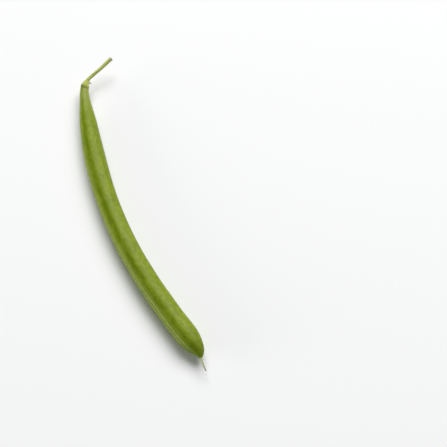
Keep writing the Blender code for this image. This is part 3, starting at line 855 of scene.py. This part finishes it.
def pod_material(pod):
    """Satin green skin: cloudy patches and fine streaks, pale specks, pale seams with painted shade in the
    groove between, a pale band round each seam that is partly painted light, a darker band along each flank
    that is partly painted shade, a paler neck, a cooler tip and a dry beak."""
    look, tree, shader = new_material("pod_skin", pod.roughness, 0.14, specular=0.05)
    straight = attribute(tree, "straight", "Vector")
    distance = add_node(tree, "SeparateXYZ", {0: straight}).outputs[0]
    groove, deep = attribute(tree, "seam_groove"), attribute(tree, "deep_and_shade_band")
    patches = use_group(tree, cloudy_patches, straight, 330.0, 2.2, pod.dark_skin, pod.light_skin, 0.14)
    small = use_group(tree, cloudy_patches, straight, 760.0, 1.5, pod.dark_skin, pod.streak_skin, 0.12)
    streaks = use_group(tree, long_streaks, straight, 1300.0, 22.0)
    pores = use_group(tree, pores_and_specks, straight, 3000.0, 0.16)
    ragged = ramp(tree, noise(tree, stretched(tree, straight, 2.5), 520.0), 0.35, 0.6, 0.62, 1.12)
    deep = times(tree, deep, ragged)
    waxy = maths(tree, "SUBTRACT", 1.0, maths(tree, "ADD", deep, groove), clamp=True)

    colour = mix(tree, SMALL_PATCHES, patches["Color"], small["Color"])
    tip_start, tip_end = (pod.length * share for share in TIP_TINT_SPAN)
    for mask, strength, tint in (
        (streaks["Mask"], STREAKS, pod.streak_skin),
        (pores["Specks"], SPECKS, pod.ridge_skin),
        (ramp(tree, distance, NECK_TINT_END, 0.0), NECK_TINT, pod.neck_skin),
        # Partly painted shade: the darker band along each flank.
        (deep, DEEP_AND_SHADE_TINT, pod.deep_skin),
        # Partly painted light: the pale band round each seam.
        (attribute(tree, "seam_band_and_light"), BAND_AND_LIGHT_TINT, pod.seam_skin),
        (attribute(tree, "seam_ridge"), RIDGE_TINT, pod.ridge_skin),
        # Painted shade: the groove between the outer seam's ridges is darkened.
        (groove, GROOVE_SHADE_TINT, pod.deep_skin),
        (ramp(tree, distance, tip_start, tip_end), TIP_TINT, pod.tip_skin),
    ):
        colour = mix(tree, times(tree, mask, strength), colour, tint)

    beak = ramp(tree, distance, pod.length - BEAK_EDGE, pod.length + BEAK_EDGE)
    browned = ramp(tree, distance, *(pod.length + past for past in BEAK_BROWNING))
    fibres = use_group(tree, long_streaks, straight, 5200.0, 8.0)
    browned = maths(tree, "MULTIPLY_ADD", fibres["Mask"], 0.3, browned)
    dried = mix(tree, browned, pod.beak_skin, pod.beak_end_skin)
    dry = use_group(tree, dried_patches, colour, beak, dried, straight, 1500.0, 0.4)
    rough = ramp(tree, patches["Mask"], 0.0, 1.0, pod.roughness - 0.03, pod.roughness + 0.05)
    rough = maths(tree, "MULTIPLY_ADD", dry["Mask"], 0.2, rough)
    coat = times(tree, waxy, WAX)
    feed(tree, shader, {"Base Color": dry["Color"], "Roughness": rough, "Coat Weight": coat})
    height = maths(tree, "MULTIPLY_ADD", streaks["Mask"], 0.8, pores["Height"])
    dimples = noise(tree, stretched(tree, straight, 1.6), 620.0, 2.0, 0.5)
    bump(tree, shader, (dimples, 0.7, 0.25 * MM), (height, 0.4, 0.09 * MM))
    return look


def skin_layers(tree, piece, patches, streaks):
    """The vector along and across a small piece, its cloudy colours and its streaks."""
    straight = attribute(tree, "straight", "Vector")
    scale, stretch, softness = patches
    values = (straight, scale, stretch, piece.shade_skin, piece.skin, softness)
    cloudy = use_group(tree, cloudy_patches, *values)["Color"]
    return straight, cloudy, use_group(tree, long_streaks, straight, *streaks)["Mask"]


def finish_skin(tree, shader, piece, colour, straight, dried_on, dried, roughness, height):
    """Dries a small piece's colour on one of its attributes, and feeds its shader. The dried patches have a
    scale and a raggedness, and the roughness goes from the fresh skin's to the dried one's."""
    mask = attribute(tree, dried_on)
    dry = use_group(tree, dried_patches, colour, mask, piece.dried_skin, straight, *dried)
    rough = ramp(tree, dry["Mask"], 0.0, 1.0, *roughness)
    feed(tree, shader, {"Base Color": dry["Color"], "Roughness": rough})
    bump(tree, shader, (height, 0.5, SKIN_BUMP))


def calyx_material(calyx):
    """Matt yellowish green skin with paler ribs, painted shade along one side of the rim's edge and a dried
    margin.
    """
    look, tree, shader = new_material("calyx_skin", 0.62, 0.06, 0.06, 0.12)
    straight, colour, streaks = skin_layers(tree, calyx, (900.0, 2.0, 0.25), (2600.0, 9.0))
    pores = use_group(tree, pores_and_specks, straight, 5200.0, 0.06)
    lighter = maths(tree, "MULTIPLY_ADD", attribute(tree, "rib"), 0.4, times(tree, streaks, 0.2))
    colour = mix(tree, lighter, colour, calyx.skin)
    # Painted shade: one side of the rim's edge is darkened.
    colour = mix(tree, times(tree, attribute(tree, "shade"), SHADE_TINT), colour, calyx.deep_skin)
    height = maths(tree, "ADD", streaks, pores["Height"])
    finish_skin(tree, shader, calyx, colour, straight, "margin", (1700.0, 0.7), (0.58, 0.8), height)
    return look


def stalk_material(stalk):
    """Light green skin, paler on the ridges, with fine lines along it and a dry grey end."""
    look, tree, shader = new_material("stalk_skin", 0.5, 0.12, 0.15)
    straight, colour, streaks = skin_layers(tree, stalk, (800.0, 4.0, 0.22), (3200.0, 14.0))
    pores = use_group(tree, pores_and_specks, straight, 4500.0, 0.1)
    colour = mix(tree, times(tree, attribute(tree, "rib"), 0.5), colour, stalk.skin)
    colour = mix(tree, times(tree, streaks, 0.25), colour, stalk.shade_skin)
    height = maths(tree, "ADD", streaks, pores["Height"])
    finish_skin(tree, shader, stalk, colour, straight, "dry", (1800.0, 0.6), (0.48, 0.85), height)
    return look


def bracteole_material(leaf):
    """Papery leaf skin, greenish at its root and vein and dried brown at its edge."""
    look, tree, shader = new_material("bracteole_skin", 0.75, 0.1, 0.2)
    straight, colour, streaks = skin_layers(tree, leaf, (1500.0, 1.5, 0.2), (4200.0, 6.0))
    colour = mix(tree, times(tree, attribute(tree, "rib"), 0.5), colour, leaf.skin)
    finish_skin(tree, shader, leaf, colour, straight, "margin", (2500.0, 0.6), (0.75, 0.75), streaks)
    return look


def floor_material(stage):
    """Plain pale matt floor with a barely seen grain."""
    look, tree, shader = new_material("floor", 0.65)
    grain = noise(tree, add_node(tree, "TexCoord").outputs["Object"], 900.0, 2.0, 0.5)
    dark = tuple(0.985 * part for part in stage.floor_colour[:3]) + (1.0,)
    feed(tree, shader, {"Base Color": mix(tree, grain, dark, stage.floor_colour)})
    return look


# ---------- settings


def number(name, description, default, low=0.0, **limits):
    return FloatProperty(name=name, description=description, default=default, min=low, **limits)


def length(name, description, default, top=1.0):
    return number(name, description, default, max=top, unit="LENGTH", precision=5)


def angle(name, description, degrees):
    turn = {"subtype": "ANGLE", "unit": "ROTATION"}
    return number(name, description, math.radians(degrees), -2 * math.pi, max=2 * math.pi, **turn)


def vector(name, description, default, low, high, **kind):
    limits = {"size": len(default), "min": low, "max": high}
    return FloatVectorProperty(name=name, description=description, default=default, **limits, **kind)


def colour(name, description, default):
    return vector(name, description, (*default, 1.0), 0.0, 1.0, subtype="COLOR")


class PodSettings(bpy.types.PropertyGroup):
    length: length("Length", "The pod along its curve, from the calyx's rim to the tip", 0.1357)
    seam_to_seam: length("Seam to Seam", "The body's full width between its two seams", 0.0084, 0.05)
    side_to_side: length("Side to Side", "The body's full thickness between its two sides", 0.0081, 0.05)
    seam_ridge: length("Seam Ridge", "How high each ridge of a seam stands", 0.00016, 0.002)
    seam_groove: length("Seam Groove", "The groove's depth between the outer seam's ridges", 0.00008, 0.002)
    seed_swell: length("Seed Swelling", "How high the skin swells over each seed", 0.00013, 0.002)
    roughness: number("Roughness", "How dull the skin is", 0.5, max=1.0, subtype="FACTOR")
    light_skin: colour("Light Skin", "The lighter patches of the skin", (0.225, 0.290, 0.006))
    dark_skin: colour("Dark Skin", "The darker patches of the skin", (0.150, 0.210, 0.002))
    # Partly painted shade: the deep green of the flank bands, also used as the painted shade in the seam's
    # groove.
    deep_skin: colour("Deep Skin", "The deep green bands along the seams' flanks", (0.100, 0.155, 0.001))
    streak_skin: colour("Streak Skin", "The fine streaks and specks", (0.29, 0.36, 0.02))
    # Partly painted light: the colour of the pale seam bands.
    seam_skin: colour("Seam Skin", "The pale bands along the seams", (0.36, 0.42, 0.14))
    ridge_skin: colour("Ridge Skin", "The tops of the seams' ridges", (0.36, 0.44, 0.09))
    neck_skin: colour("Neck Skin", "The skin next to the calyx", (0.34, 0.37, 0.10))
    tip_skin: colour("Tip Skin", "The skin of the closing tip", (0.125, 0.18, 0.006))
    beak_skin: colour("Beak Skin", "The dry beak", (0.40, 0.43, 0.25))
    beak_end_skin: colour("Beak End Skin", "The beak's browned end", (0.20, 0.17, 0.08))


class CalyxSettings(bpy.types.PropertyGroup):
    length: length("Length", "The cup's axis from its rim to its foot", 0.0033, 0.05)
    wall: length("Wall", "The cup's thickness", 0.00018, 0.002)
    tooth: length("Tooth", "The mean length of the rim's teeth", 0.0003, 0.01)
    curl: length("Curl", "How far the teeth curl off the pod", 0.00004, 0.005)
    skin: colour("Skin", "The lighter skin and the ribs", (0.48, 0.51, 0.12))
    shade_skin: colour("Shade Skin", "The darker patches of the skin", (0.35, 0.38, 0.09))
    # Painted shade: the colour that darkens one side of the rim's edge.
    deep_skin: colour("Deep Skin", "The darker green part of the rim", (0.075, 0.105, 0.003))
    dried_skin: colour("Dried Skin", "The dried margin", (0.44, 0.42, 0.16))


class StalkSettings(bpy.types.PropertyGroup):
    length: length("Length", "The stalk from the calyx to its torn end", 0.0137, 0.1)
    ridge: length("Ridge", "How high the stalk's lengthwise ridges stand", 0.00003, 0.001)
    skin: colour("Skin", "The lighter skin on the ridges", (0.52, 0.57, 0.15))
    shade_skin: colour("Shade Skin", "The darker patches and lines", (0.36, 0.41, 0.08))
    dried_skin: colour("Dried Skin", "The torn end", (0.50, 0.50, 0.33))


class BracteoleSettings(bpy.types.PropertyGroup):
    length: length("Length", "A leaf from its root to its point", 0.0019, 0.02)
    width: length("Width", "A leaf across its widest place", 0.0012, 0.02)
    thickness: length("Thickness", "A leaf's thickness", 0.0002, 0.002)
    cup: length("Cup", "How deep a leaf is cupped", 0.00022, 0.002)
    skin: colour("Skin", "The greener skin along the vein", (0.56, 0.54, 0.27))
    shade_skin: colour("Shade Skin", "The darker patches", (0.42, 0.38, 0.19))
    dried_skin: colour("Dried Skin", "The dried edge", (0.36, 0.28, 0.14))


class StageSettings(bpy.types.PropertyGroup):
    camera_azimuth: angle("Camera Azimuth", "The camera's way round the bean, from behind -Y", 68.36)
    camera_elevation: angle("Camera Elevation", "The camera's angle over the floor", 55.0)
    camera_distance: length("Camera Distance", "From the camera to the point that it aims at", 0.394, 10.0)
    aim: vector("Aim", "The aimed point, as shares of the frame's box", (0.6309, 1.4626, 0.5202), -5.0, 5.0)
    lens: number("Lens", "The camera's focal length", 85.0, 10.0, max=300.0, unit="CAMERA")
    floor_size: length("Floor Size", "The floor's side", 6.0, 100.0)
    floor_colour: colour("Floor Colour", "The floor", (0.89, 0.89, 0.89))
    key_power: number("Key Power", "The large soft light's power", 72.0, unit="POWER")
    fill_power: number("Fill Power", "The low side light's power", 20.0, unit="POWER")
    sky_strength: number("Sky Strength", "The strength of the light from all round", 0.2)


# ---------- the stage


def way_from(azimuth, elevation):
    """The unit vector towards a place round the bean. Azimuth 0 is at -Y, and a quarter turn at +X."""
    level = math.cos(elevation)
    return Vector((math.sin(azimuth) * level, -math.cos(azimuth) * level, math.sin(elevation)))


def aim_at(name, data, way, distance, target):
    """A camera or a light at a distance from the target, looking at it."""
    made = link_new(name, data)
    made.location = target + way * distance
    made.rotation_mode = "QUATERNION"
    made.rotation_quaternion = (-way).to_track_quat("-Z", "Y")
    return made


def add_camera(stage, target):
    data = bpy.data.cameras.new("camera")
    data.lens, data.sensor_width = stage.lens, SENSOR_WIDTH
    data.clip_start, data.clip_end = CLIP
    way = way_from(stage.camera_azimuth, stage.camera_elevation)
    bpy.context.scene.camera = aim_at("camera", data, way, stage.camera_distance, target)


def add_floor(stage, target):
    """A flat square just under the bean."""
    half = stage.floor_size / 2
    places = ((-half, -half), (half, -half), (half, half), (-half, half))
    data = bpy.data.meshes.new("floor")
    data.from_pydata([(x + target.x, y + target.y, FLOOR_HEIGHT) for x, y in places], [], [(0, 1, 2, 3)])
    data.materials.append(floor_material(stage))
    floor = link_new("floor", data)


def add_soft_light(name, sides, power, turn, elevation, stage, target):
    """A rectangular light at LIGHT_DISTANCE from the target, turned round it from the camera."""
    data = bpy.data.lights.new(name, "AREA")
    data.shape = "RECTANGLE"
    data.size, data.size_y = sides
    data.energy = power
    aim_at(name, data, way_from(stage.camera_azimuth + turn, elevation), LIGHT_DISTANCE, target)


def add_sky(strength):
    """An even light from all round, which the camera sees as a pale backdrop."""
    world = bpy.data.worlds.new("soft_sky")
    world.use_nodes = True
    tree = world.node_tree
    seen = add_node(tree, "LightPath").outputs["Is Camera Ray"]
    shown = maths(tree, "MULTIPLY_ADD", seen, BACKDROP - strength, strength)
    feed(tree, tree.nodes["Background"], {"Strength": shown, "Color": SKY_COLOUR})
    bpy.context.scene.world = world


# ---------- operators


class BEAN_OT_make_pod(bpy.types.Operator):
    """Make the pod, with its seams, seed swellings, neck and beak"""

    bl_idname = "bean.make_pod"
    bl_label = "Make Pod"

    def execute(self, context):
        pod = context.scene.bean_pod
        grid, start, end, attributes = pod_surface(pod)
        place_piece("pod_body", pod, grid, attributes, pod_material(pod), ["pod"], start, end)
        return {"FINISHED"}


class BEAN_OT_make_calyx(bpy.types.Operator):
    """Make the calyx, the toothed cup round the pod's neck"""

    bl_idname = "bean.make_calyx"
    bl_label = "Make Calyx"

    def execute(self, context):
        pod, calyx = context.scene.bean_pod, context.scene.bean_calyx
        grid, attributes = calyx_surface(pod, calyx)
        place_piece("calyx_cup", pod, grid, attributes, calyx_material(calyx), ["calyx"])
        return {"FINISHED"}


class BEAN_OT_make_stalk(bpy.types.Operator):
    """Make the stalk, ridged along its length and torn off at its end"""

    bl_idname = "bean.make_stalk"
    bl_label = "Make Stalk"

    def execute(self, context):
        pod, calyx, stalk = context.scene.bean_pod, context.scene.bean_calyx, context.scene.bean_stalk
        grid, end, attributes = stalk_surface(pod, calyx, stalk)
        look = stalk_material(stalk)
        place_piece("stalk_stem", pod, grid, attributes, look, ["stalk"], end=end)
        return {"FINISHED"}


class BEAN_OT_make_bracteoles(bpy.types.Operator):
    """Make the two bracteoles, the small dried leaves on the calyx"""

    bl_idname = "bean.make_bracteoles"
    bl_label = "Make Bracteoles"

    def execute(self, context):
        pod, calyx, leaf = context.scene.bean_pod, context.scene.bean_calyx, context.scene.bean_bracteoles
        rng = np.random.default_rng(SEED + 3)
        look = bracteole_material(leaf)
        for node, (roll, turn) in BRACTEOLE_WAYS.items():
            grid, attributes = leaf_surface(roll, turn, pod, calyx, leaf, rng)
            place_piece(node + "_leaf", pod, grid, attributes, look, [node])
        return {"FINISHED"}


class BEAN_OT_make_stage(bpy.types.Operator):
    """Make the camera, the pale floor and the soft light"""

    bl_idname = "bean.make_stage"
    bl_label = "Make Stage"

    def execute(self, context):
        stage = context.scene.bean_stage
        low, high = CAD_BOX
        target = Vector([a + (b - a) * share for a, b, share in zip(low, high, stage.aim)])
        add_camera(stage, target)
        add_floor(stage, target)
        add_soft_light("key_light", KEY_SIDES, stage.key_power, *KEY_WAY, stage, target)
        add_soft_light("fill_light", FILL_SIDES, stage.fill_power, *FILL_WAY, stage, target)
        add_sky(stage.sky_strength)
        context.scene.view_settings.view_transform = "Standard"
        return {"FINISHED"}


class BEAN_PT_panel(bpy.types.Panel):
    """The sidebar panel that lists the bean's operators and settings"""

    bl_idname = "BEAN_PT_panel"
    bl_label = "Green Bean"
    bl_space_type = "VIEW_3D"
    bl_region_type = "UI"
    bl_category = "Green Bean"

    def draw(self, context):
        for group, (_, operator) in STEPS.items():
            box = self.layout.box()
            box.operator(operator.bl_idname)
            settings = getattr(context.scene, group)
            for key in settings.__annotations__:
                box.prop(settings, key)


# Each group of settings, in the order that things are made, with its class and its operator.
STEPS = {
    "bean_stage": (StageSettings, BEAN_OT_make_stage),
    "bean_pod": (PodSettings, BEAN_OT_make_pod),
    "bean_calyx": (CalyxSettings, BEAN_OT_make_calyx),
    "bean_stalk": (StalkSettings, BEAN_OT_make_stalk),
    "bean_bracteoles": (BracteoleSettings, BEAN_OT_make_bracteoles),
}
CLASSES = (*(made for pair in STEPS.values() for made in pair), BEAN_PT_panel)


def register():
    for made in CLASSES:
        bpy.utils.register_class(made)
    for key, (group, _) in STEPS.items():
        setattr(bpy.types.Scene, key, PointerProperty(type=group))


def unregister():
    for key in STEPS:
        delattr(bpy.types.Scene, key)
    for made in reversed(CLASSES):
        bpy.utils.unregister_class(made)


def main():
    """Makes the stage and the pieces."""
    register()
    bpy.ops.bean.make_stage()
    bpy.ops.bean.make_pod()
    bpy.ops.bean.make_calyx()
    bpy.ops.bean.make_stalk()
    bpy.ops.bean.make_bracteoles()


if __name__ == "__main__":
    main()
